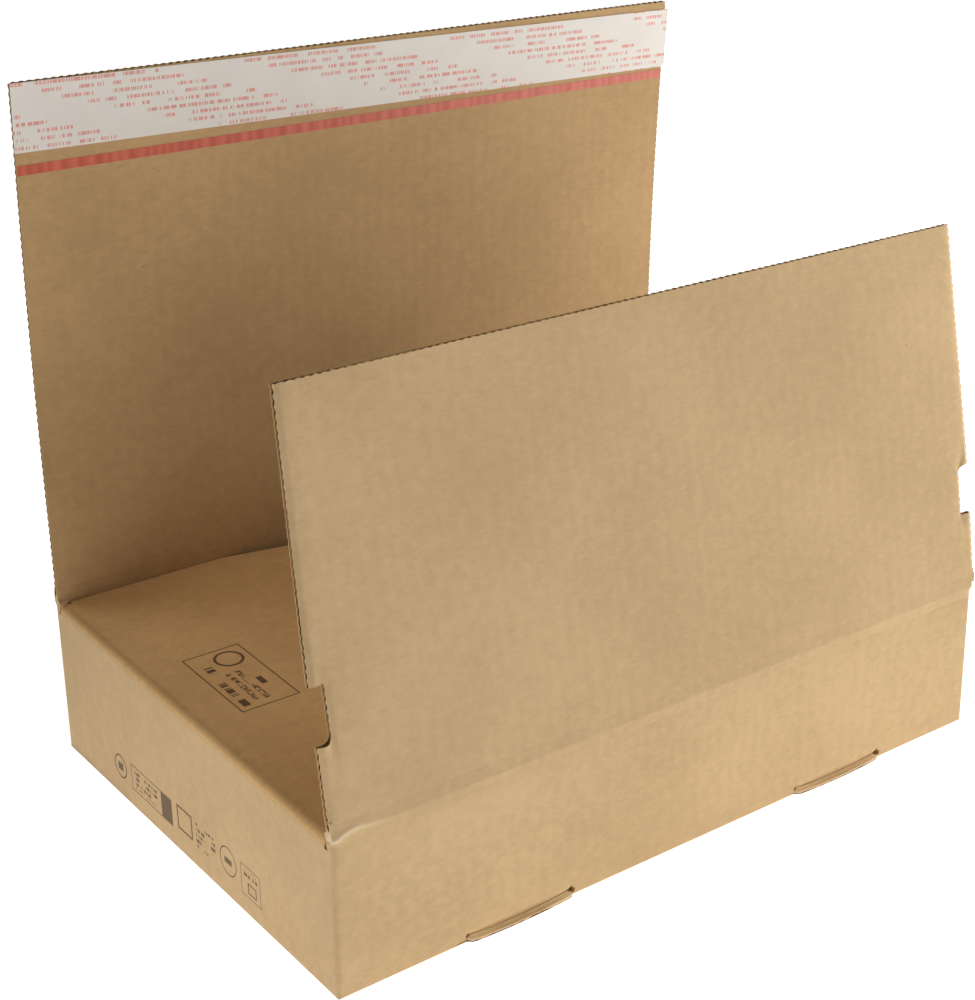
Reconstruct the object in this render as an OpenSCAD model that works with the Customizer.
// Self-closing corrugated mailer carton, standing open.
// One die-cut sheet of single-wall board is folded into walls, a crash-lock bottom and two side
// flaps. The front flap and the lid hang on creases along the long walls. A release liner over
// an adhesive band, and a tear tape, run along the free edge of the lid.
// X runs along the front, Y from front to back, Z up. The origin is under the middle of the box.

/* [Carton] */
// Outside length, left to right
box_length = 334; // [260:1:480]
// Outside depth, front to back
box_depth = 223.5; // [190:0.5:320]
// Height from the floor to the top of the folded side flaps, at the front
wall_height = 67; // [45:0.5:140]

/* [Board] */
// Thickness of the single-wall board
board = 3; // [2.6:0.1:4]
// Thickness of each flat facing paper
facing = 0.4; // [0.2:0.05:0.6]
// Thickness of the fluted paper between the facings
medium = 0.4; // [0.25:0.05:0.6]
// Distance from one flute to the next
flute_pitch = 6.5; // [5:0.1:8]

/* [Folds] */
// Outer radius of the four upright corner folds
corner_fold = 2.5; // [1:0.25:2.5]
// Outer radius of the folds round the bottom
bottom_fold = 2; // [1:0.25:2.5]
// Outer radius of the soft fold from a side wall into its side flap
side_fold = 4; // [3.5:0.5:9]
// Radius of the paper bead along the creases of the front flap and the lid
crease_bead = 0.35; // [0.25:0.05:0.6]
// Free space round that bead and between the mitres of such a crease
crease_gap = 0.15; // [0.1:0.05:0.3]
// Free space between flaps that lie on each other when the box is closed
stack_gap = 0.35; // [0.3:0.05:1]
// Length of crushed board without flutes beside a crease
crush_length = 5; // [4.5:0.5:10]

/* [Side flaps] */
// Length of each side flap from the outside of its wall
side_flap_length = 125; // [80:1:126]
// Length of the part whose edges run square to the wall
side_flap_square = 80; // [40:1:110]
// How far each long edge draws in from there to the free end
side_flap_taper = 9; // [2:1:20]
// Free space between a side flap and the long walls
side_flap_gap = 0.4; // [0.3:0.1:3]
// Angle at which the side flaps and the tops of their walls rise from front to rear
side_rise = 1.3; // [0:0.1:1.3]

/* [Front flap] */
// Length from its crease to the free edge
front_flap_length = 159.6; // [100:0.1:175]
// Lean inwards from upright
front_flap_lean = 11; // [0:1:20]
// How far each short edge draws in between the notch and the free edge
front_flap_taper = 3.5; // [0:0.5:10]
// Distance from the crease to the notches
notch_start = 32.5; // [15:0.5:45]
// Length of a notch along the edge
notch_length = 22; // [10:1:40]
// Depth of a notch
notch_depth = 6; // [4:0.5:12]
// Radius in the round corner of a notch
notch_round = 3; // [1:0.5:3.5]

/* [Lid] */
// Length from its crease to the free edge
lid_length = 222.3; // [185:0.1:230]
// Lean forwards from upright
lid_lean = 1.3; // [0:0.1:3]

/* [Closure] */
// Width of the release liner
liner_width = 27.3; // [18:0.1:40]
// Thickness of the release liner
liner_thickness = 0.15; // [0.1:0.05:0.3]
// How far the release liner sticks out past the right edge of the lid
liner_overhang = 1.5; // [0:0.5:4]
// Angle at which the release liner was laid, falling to the right
liner_skew = 0.65; // [0:0.05:0.8]
// Size of the corner cut off its loose end
liner_corner = 1.5; // [0.5:0.5:5]
// Width of the adhesive band under the liner
adhesive_width = 15; // [8:1:17]
// Thickness of the adhesive band
adhesive_thickness = 0.2; // [0.15:0.05:0.4]
// Distance between the ends of the adhesive band and the edges of the lid
adhesive_inset = 6; // [3:1:20]
// Width of the tear tape
tape_width = 4; // [3:0.5:8]
// Thickness of the tear tape
tape_thickness = 0.12; // [0.08:0.02:0.14]
// Distance from the free edge of the lid to the middle of the tear tape
tape_place = 34.4; // [31:0.1:60]

/* [Bottom] */
// Length of each cut along the front bottom fold
slot_length = 50; // [20:1:70]
// Distance from the middle of the box to the middle of such a cut
slot_place = 86; // [60:1:90]
// Height of the open slit between the bottom panel's edge and the wall
slot_slit = 0.7; // [0.4:0.1:1.5]
// Radius of the relief holes at the ends of the cuts
slot_relief = 1.3; // [0.8:0.1:1.8]
// Width of the seam between the two large bottom panels
seam_width = 0.8; // [0.4:0.1:2]
// Distance of the seam's straight ends from the middle of the box
seam_reach = 20; // [8:1:40]
// Length of the small glued bottom panels from the outside of the side walls
small_panel = 84; // [40:1:110]
// Width of the glue tab inside the rear right corner
glue_tab = 32; // [20:1:45]

/* [Cut edges] */
// Length of one wave of the die-cut edges
wave_pitch = 3.4; // [3:0.1:6]
// Height of the waves, crest to trough
wave_depth = 0.4; // [0.3:0.1:1.2]

/* [Hidden] */
$fn = 48;

kraft_outside = "#C4A878";
kraft_inside = "#A08050";
liner_grey = "#DAD4CE";
tape_red = "#B25A46";
glue_pale = "#E6DFC4";

half_length = box_length / 2;
half_depth = box_depth / 2;
// Heights of the crease axes: side flaps, front flap and lid lie on each other when closed
front_axis_z = wall_height + stack_gap + board;
lid_axis_z = front_axis_z + crease_bead + stack_gap + board;
// How far the solids that are cut to size reach past their final faces
spare = 2;
// Half width of the flaps to the middle of their waved edges
half_flap = half_length - wave_depth / 2;
// Wide and narrow half widths of the hollow in a flute
flute_wide = 0.354 * flute_pitch;
flute_narrow = 0.108 * flute_pitch;
// How far the outermost flute hollows reach past the middle of the waves, so that these open them
flute_past_edge = 0.25;
// The ends of the long walls drop this far over this length, beside the corner folds
end_drop = 2.4;
end_drop_length = 5;
// Chamfer of the wall's lower edge above a bottom cut
slot_chamfer_y = 1.2;
slot_chamfer_z = 2.4;
// Width and depth of the pressed line where a small bottom panel folds over
fold_line_width = 1.2;
fold_line_depth = 0.6;
// The seam's slanted part starts this far right of the middle and is this long
seam_slant_start = 12;
seam_slant_length = 30;
// The glue tab keeps this far from the bottom panels and from the side flap
tab_clear = 3;
// How far the rear wall's cut end stays back from the right wall, and the size of its groove
cut_end_inset = 0.3;
glued_groove = 0.7;
// Height at which the soft folds into the side flaps start, at the front
side_fold_z = wall_height - side_fold;
// Half width of a side flap
half_side_flap = half_depth - board - side_flap_gap;
// Heights of the corner folds, a little below the side flaps
front_corner_z = wall_height - crease_bead;
rear_corner_z = wall_height - crease_bead + 2 * half_side_flap * tan(side_rise);
// Half width of a small bottom panel
half_small_panel = half_depth - board - side_flap_gap;

// Points of a waved edge from p to q, two to each wave
function waved(p, q) =
    let (run = q - p,
         waves = max(1, round(norm(run) / wave_pitch)),
         side = [run[1], -run[0]] / norm(run) * wave_depth / 2)
    [for (i = [0 : waves - 1], k = [0, 1])
        p + run * (i + (2 * k + 1) / 4) / waves + side * (1 - 2 * k)];

// Points of an arc from angle a to angle b
function arc(middle, radius, a, b, steps = 6) =
    [for (i = [0 : steps])
        middle + radius * [cos(a + (b - a) * i / steps), sin(a + (b - a) * i / steps)]];

// Outline of the front flap, seen from the front, with its crease axis along the X axis.
// Each notch has one square and one round inner corner, and the round ones are diagonally opposite.
function front_flap_outline() =
    let (w = half_flap,
         inner = w - notch_depth,
         low = notch_start,
         high = notch_start + notch_length,
         tip = w - front_flap_taper,
         top = front_flap_length - wave_depth / 2)
    concat(
        [[w, -spare], [w, crush_length]],
        waved([w, crush_length], [w, low]),
        [[w, low], [inner, low]],
        waved([inner, low], [inner, high - notch_round]),
        arc([inner + notch_round, high - notch_round], notch_round, 180, 90),
        [[w, high]],
        waved([w, high], [tip, top]),
        [[tip, top]],
        waved([tip, top], [-tip, top]),
        [[-tip, top]],
        waved([-tip, top], [-w, high]),
        [[-w, high], [-inner, high]],
        waved([-inner, high], [-inner, low + notch_round]),
        arc([-inner - notch_round, low + notch_round], notch_round, 0, -90),
        [[-w, low]],
        waved([-w, low], [-w, crush_length]),
        [[-w, crush_length], [-w, -spare]]
    );

// Outline of the lid, seen from the front, with its crease axis along the X axis
function lid_outline() =
    let (w = half_flap,
         top = lid_length - wave_depth / 2)
    concat(
        [[w, -spare], [w, crush_length]],
        waved([w, crush_length], [w, top]),
        [[w, top]],
        waved([w, top], [-w, top]),
        [[-w, top]],
        waved([-w, top], [-w, crush_length]),
        [[-w, crush_length], [-w, -spare]]
    );

// The fluted paper between the facings, as one long folded band seen end on.
// Its lower facing lies on the X axis.
module fluted_paper() {
    outer = half_flap + flute_past_edge - flute_wide;
    flutes = round(2 * outer / flute_pitch);
    pitch = 2 * outer / flutes;
    bite = facing / 4;
    low = facing - bite;
    high = board - facing + bite;
    reach = half_length + spare;
    polygon(concat(
        [[-reach, low]],
        [for (i = [0 : flutes], p = [
            [-flute_wide, low], [-flute_narrow, board - facing - medium],
            [flute_narrow, board - facing - medium], [flute_wide, low]])
            [-outer + i * pitch + p[0], p[1]]],
        [[reach, low], [reach, high]],
        [for (i = [flutes - 1 : -1 : 0], p = [
            [flute_wide, high], [flute_narrow, facing + medium],
            [-flute_narrow, facing + medium], [-flute_wide, high]])
            [-outer + (i + 0.5) * pitch + p[0], p[1]]],
        [[-reach, high]]
    ));
}

// A piece of single-wall board standing on end: two facings with the fluted paper between them
module fluted_board(length) {
    reach = half_length + spare;
    translate([-reach, 0, 0]) cube([2 * reach, facing, length]);
    translate([-reach, board - facing, 0]) cube([2 * reach, facing, length]);
    linear_extrude(length) fluted_paper();
}

// The crushed and mitred foot of a flap, with its outer face on the XZ plane
module flap_foot() {
    reach = half_length + spare;
    difference() {
        translate([-reach, 0, 0]) rotate([90, 0, 90]) linear_extrude(2 * reach)
            polygon([[0, crease_gap], [board, board + crease_gap], [board, crush_length],
                [0, crush_length]]);
        rotate([0, 90, 0]) cylinder(h = 2 * reach + 2, r = crease_bead + crease_gap, center = true);
    }
}

// A flap standing on its crease axis, cut to an outline that is seen from the front
module hinged_flap(outline, length) {
    intersection() {
        union() {
            flap_foot();
            translate([0, 0, crush_length]) fluted_board(length - crush_length + spare);
        }
        translate([0, board + 1, 0]) rotate([90, 0, 0]) linear_extrude(board + 2) polygon(outline);
    }
}

// Places what belongs to the lid: its outer face on the XZ plane comes to face the rear
module lid_place() {
    translate([0, half_depth, lid_axis_z]) rotate([lid_lean, 0, 0]) mirror([0, 1, 0]) children();
}

// A long wall seen end on: outer face on the Z axis, mitred top, bottom on the Y axis
module long_wall_section(axis_z) {
    polygon([[0, 0], [board, 0], [board, axis_z - board - crease_gap], [0, axis_z - crease_gap]]);
    translate([0, axis_z]) circle(crease_bead);
}

// A long wall with its outer face towards the front
module long_wall(axis_z) {
    run = half_length - corner_fold;
    difference() {
        translate([-run, -half_depth, 0]) rotate([90, 0, 90]) linear_extrude(2 * run)
            long_wall_section(axis_z);
        wall_end_cut(axis_z);
        mirror([1, 0, 0]) wall_end_cut(axis_z);
    }
}

// Takes the top off the end of a long wall, sloping down towards the corner
module wall_end_cut(axis_z) {
    top = axis_z + 2 * crease_bead;
    translate([0, -half_depth + board + 1, 0]) rotate([90, 0, 0]) linear_extrude(board + 2)
        polygon([[half_length - end_drop_length, top], [half_length + 1, top],
            [half_length + 1, axis_z - end_drop], [half_length - corner_fold, axis_z - end_drop],
            [half_length - end_drop_length, axis_z + crease_bead]]);
}

// One upright corner fold
module corner_post(side, end, top_z) {
    translate([side * (half_length - corner_fold), end * (half_depth - corner_fold), 0])
        cylinder(h = top_z, r = corner_fold);
    translate([side * (half_length - board / 2 - corner_fold / 2), end * (half_depth - board), top_z / 2])
        cube([board - corner_fold + 0.5, board - corner_fold + 0.5, top_z], center = true);
}

// A side wall on the right, whose top rises towards the rear
module side_wall() {
    run = half_depth - corner_fold;
    translate([half_length - board, 0, 0]) rotate([90, 0, 90]) linear_extrude(board)
        polygon([[-run, 0], [run, 0],
            [run, side_fold_z + (run + half_side_flap) * tan(side_rise)],
            [-run, side_fold_z - (run - half_side_flap) * tan(side_rise)]]);
}

// Turns a side flap about its front edge, so that it rises towards the rear
module raised() {
    translate([0, -half_side_flap, side_fold_z]) rotate([side_rise, 0, 0])
        translate([0, half_side_flap, -side_fold_z]) children();
}

// A side wall with its side flap, on the right
module side_panel() {
    side_wall();
    inner_fold = side_fold - board;
    fold_x = half_length - side_fold;
    free_x = half_length - side_flap_length;
    square_x = half_length - side_flap_square;
    // The fold ends beside the corner folds
    fold_end = half_depth - 2 * corner_fold - crease_gap;
    inner_x = half_length - 2 * corner_fold - 4 * crease_gap;
    intersection() {
        raised() translate([0, half_side_flap + spare, 0]) rotate([90, 0, 0])
            linear_extrude(2 * half_side_flap + 2 * spare) {
                difference() {
                    translate([fold_x, side_fold_z]) circle(side_fold);
                    translate([fold_x, side_fold_z]) circle(inner_fold);
                    translate([fold_x - side_fold - 1, side_fold_z - side_fold - 1])
                        square([side_fold + 1, 2 * side_fold + 2]);
                    translate([fold_x - 1, side_fold_z - side_fold - 1])
                        square([side_fold + 2, side_fold + 1]);
                }
                translate([free_x, wall_height - board]) square([fold_x - free_x, board]);
                translate([half_length - board, side_fold_z - spare]) square([board, spare]);
            }
        linear_extrude(lid_axis_z) polygon([
            [half_length + 1, -fold_end], [half_length + 1, fold_end], [inner_x, fold_end],
            [inner_x, half_side_flap], [square_x, half_side_flap],
            [free_x, half_side_flap - side_flap_taper], [free_x, -half_side_flap + side_flap_taper],
            [square_x, -half_side_flap], [inner_x, -half_side_flap], [inner_x, -fold_end]]);
    }
}

// Edge of the seam between the large bottom panels, moved back or forth by a step
function seam_line(step) = [
    [half_length - board / 2, seam_reach + step],
    [seam_slant_start + seam_slant_length, seam_reach + step],
    [seam_slant_start, -seam_reach + step],
    [-half_length + board / 2, -seam_reach + step]];

// The two large bottom panels, hooked into each other along the seam
module large_bottom_panels() {
    w = half_length - board / 2;
    d = half_depth - board / 2;
    linear_extrude(board) polygon(concat([[-w, -d], [w, -d]], seam_line(-seam_width / 2)));
    linear_extrude(board) polygon(concat([[-w, d], [w, d]], seam_line(seam_width / 2)));
}

// A small bottom panel glued on top of the large ones, on the right, with its pressed fold lines
module small_bottom_panel() {
    wall_x = half_length - board / 2;
    free_x = half_length - small_panel;
    slant = small_panel - 3 * board;
    translate([0, 0, board]) difference() {
        linear_extrude(board) polygon([
            [wall_x, -half_small_panel], [wall_x, half_small_panel],
            [wall_x - slant / 3, half_small_panel], [free_x, half_small_panel - slant * 2 / 3],
            [free_x, -half_small_panel + slant * 2 / 3], [wall_x - slant / 3, -half_small_panel]]);
        for (end = [-1, 1])
            translate([half_length - board, end * half_small_panel, board - fold_line_depth])
                rotate([0, 0, 180 + end * 45]) translate([0, -fold_line_width / 2, 0])
                    cube([1.2 * small_panel, fold_line_width, board]);
    }
}

// Rounds the lower edges of the folded box, apart from the cut edges in the front slots
module bottom_rounding_x() {
    translate([-half_length - 1, 0, 0]) rotate([90, 0, 90]) linear_extrude(box_length + 2)
        rounded_foot(half_depth);
    slot_blocks(0, board);
}
module bottom_rounding_y() {
    translate([0, half_depth + 1, 0]) rotate([90, 0, 0]) linear_extrude(box_depth + 2)
        rounded_foot(half_length);
}
module rounded_foot(half) {
    translate([-half + bottom_fold, bottom_fold]) circle(bottom_fold);
    translate([half - bottom_fold, bottom_fold]) circle(bottom_fold);
    translate([-half + bottom_fold, 0]) square([2 * half - 2 * bottom_fold, bottom_fold + 1]);
    translate([-half - 1, bottom_fold]) square([2 * half + 2, lid_axis_z]);
}

// Blocks over the length of both front slots, between two heights
module slot_blocks(low, high) {
    for (side = [-1, 1])
        translate([side * slot_place - slot_length / 2, -half_depth - 1, low])
            cube([slot_length, board + 1, high - low]);
}

// What is cut away at a front slot: the slit, the relief holes and the wall's worn lower edge
module slot_cuts() {
    slot_blocks(board, board + slot_slit);
    for (side = [-1, 1]) {
        for (end = [-1, 1])
            translate([side * slot_place + end * slot_length / 2, -half_depth - 1, board + slot_slit / 2])
                rotate([-90, 0, 0]) cylinder(h = board + 2, r = slot_relief);
        translate([side * slot_place - slot_length / 2, -half_depth, board + slot_slit])
            rotate([90, 0, 90]) linear_extrude(slot_length)
                polygon([[-1, -0.1], [slot_chamfer_y, -0.1], [slot_chamfer_y, 0], [0, slot_chamfer_z],
                    [-1, slot_chamfer_z]]);
    }
}

// The glue tab, folded from the right wall and glued inside the rear wall
module glue_tab_panel() {
    low = 2 * board + tab_clear;
    high = wall_height - board - tab_clear;
    translate([0, half_depth - board + 0.5, 0]) rotate([90, 0, 0]) linear_extrude(board + 0.5)
        polygon([[half_length - board + 0.5, low], [half_length - board + 0.5, high],
            [half_length - board - glue_tab, high - glue_tab / 4],
            [half_length - board - glue_tab, low + glue_tab / 4]]);
}

// The rear wall's cut end at the glued corner
module glued_corner() {
    translate([half_length - board, half_depth - board, 0])
        cube([board - cut_end_inset, board, rear_corner_z]);
}

// The groove where the right wall folds in beside that cut end
module glued_corner_groove() {
    translate([half_length + glued_groove / 2, half_depth - board, lid_axis_z / 2])
        rotate([0, 0, 45]) cube([2 * glued_groove, 2 * glued_groove, lid_axis_z + 2], center = true);
}

module carton_body() {
    color(kraft_outside) difference() {
        intersection() {
            union() {
                long_wall(front_axis_z);
                mirror([0, 1, 0]) long_wall(lid_axis_z);
                corner_post(-1, -1, front_corner_z);
                corner_post(1, -1, front_corner_z);
                corner_post(-1, 1, rear_corner_z);
                glued_corner();
                side_panel();
                mirror([1, 0, 0]) side_panel();
                large_bottom_panels();
                small_bottom_panel();
                mirror([1, 0, 0]) small_bottom_panel();
                glue_tab_panel();
            }
            bottom_rounding_x();
            bottom_rounding_y();
        }
        slot_cuts();
        glued_corner_groove();
    }
}

module front_flap() {
    color(kraft_outside)
        translate([0, -half_depth, front_axis_z]) rotate([-front_flap_lean, 0, 0])
            hinged_flap(front_flap_outline(), front_flap_length);
}

module lid() {
    color(kraft_inside) lid_place() hinged_flap(lid_outline(), lid_length);
}

// Places what lies along the skewed liner: the origin at the liner's upper left corner
module liner_place(depth) {
    lid_place() translate([-half_flap, board + depth, lid_length]) rotate([0, liner_skew, 0])
        children();
}

module adhesive_band() {
    margin = (liner_width - adhesive_width) / 2;
    color(glue_pale) liner_place(0)
        translate([adhesive_inset, 0, -liner_width + margin])
            cube([2 * half_flap - 2 * adhesive_inset, adhesive_thickness, adhesive_width]);
}

module release_liner() {
    reach = 2 * half_flap + liner_overhang;
    color(liner_grey) liner_place(adhesive_thickness)
        translate([0, liner_thickness, 0]) rotate([90, 0, 0]) linear_extrude(liner_thickness)
            polygon([[0, 0], [0, -liner_width], [reach - liner_corner, -liner_width],
                [reach, -liner_width + liner_corner], [reach, 0]]);
}

module tear_tape() {
    color(tape_red) lid_place()
        translate([-half_flap + wave_depth / 2, board, lid_length - tape_place - tape_width / 2])
            cube([2 * half_flap - wave_depth, tape_thickness, tape_width]);
}

carton_body();
front_flap();
lid();
adhesive_band();
release_liner();
tear_tape();
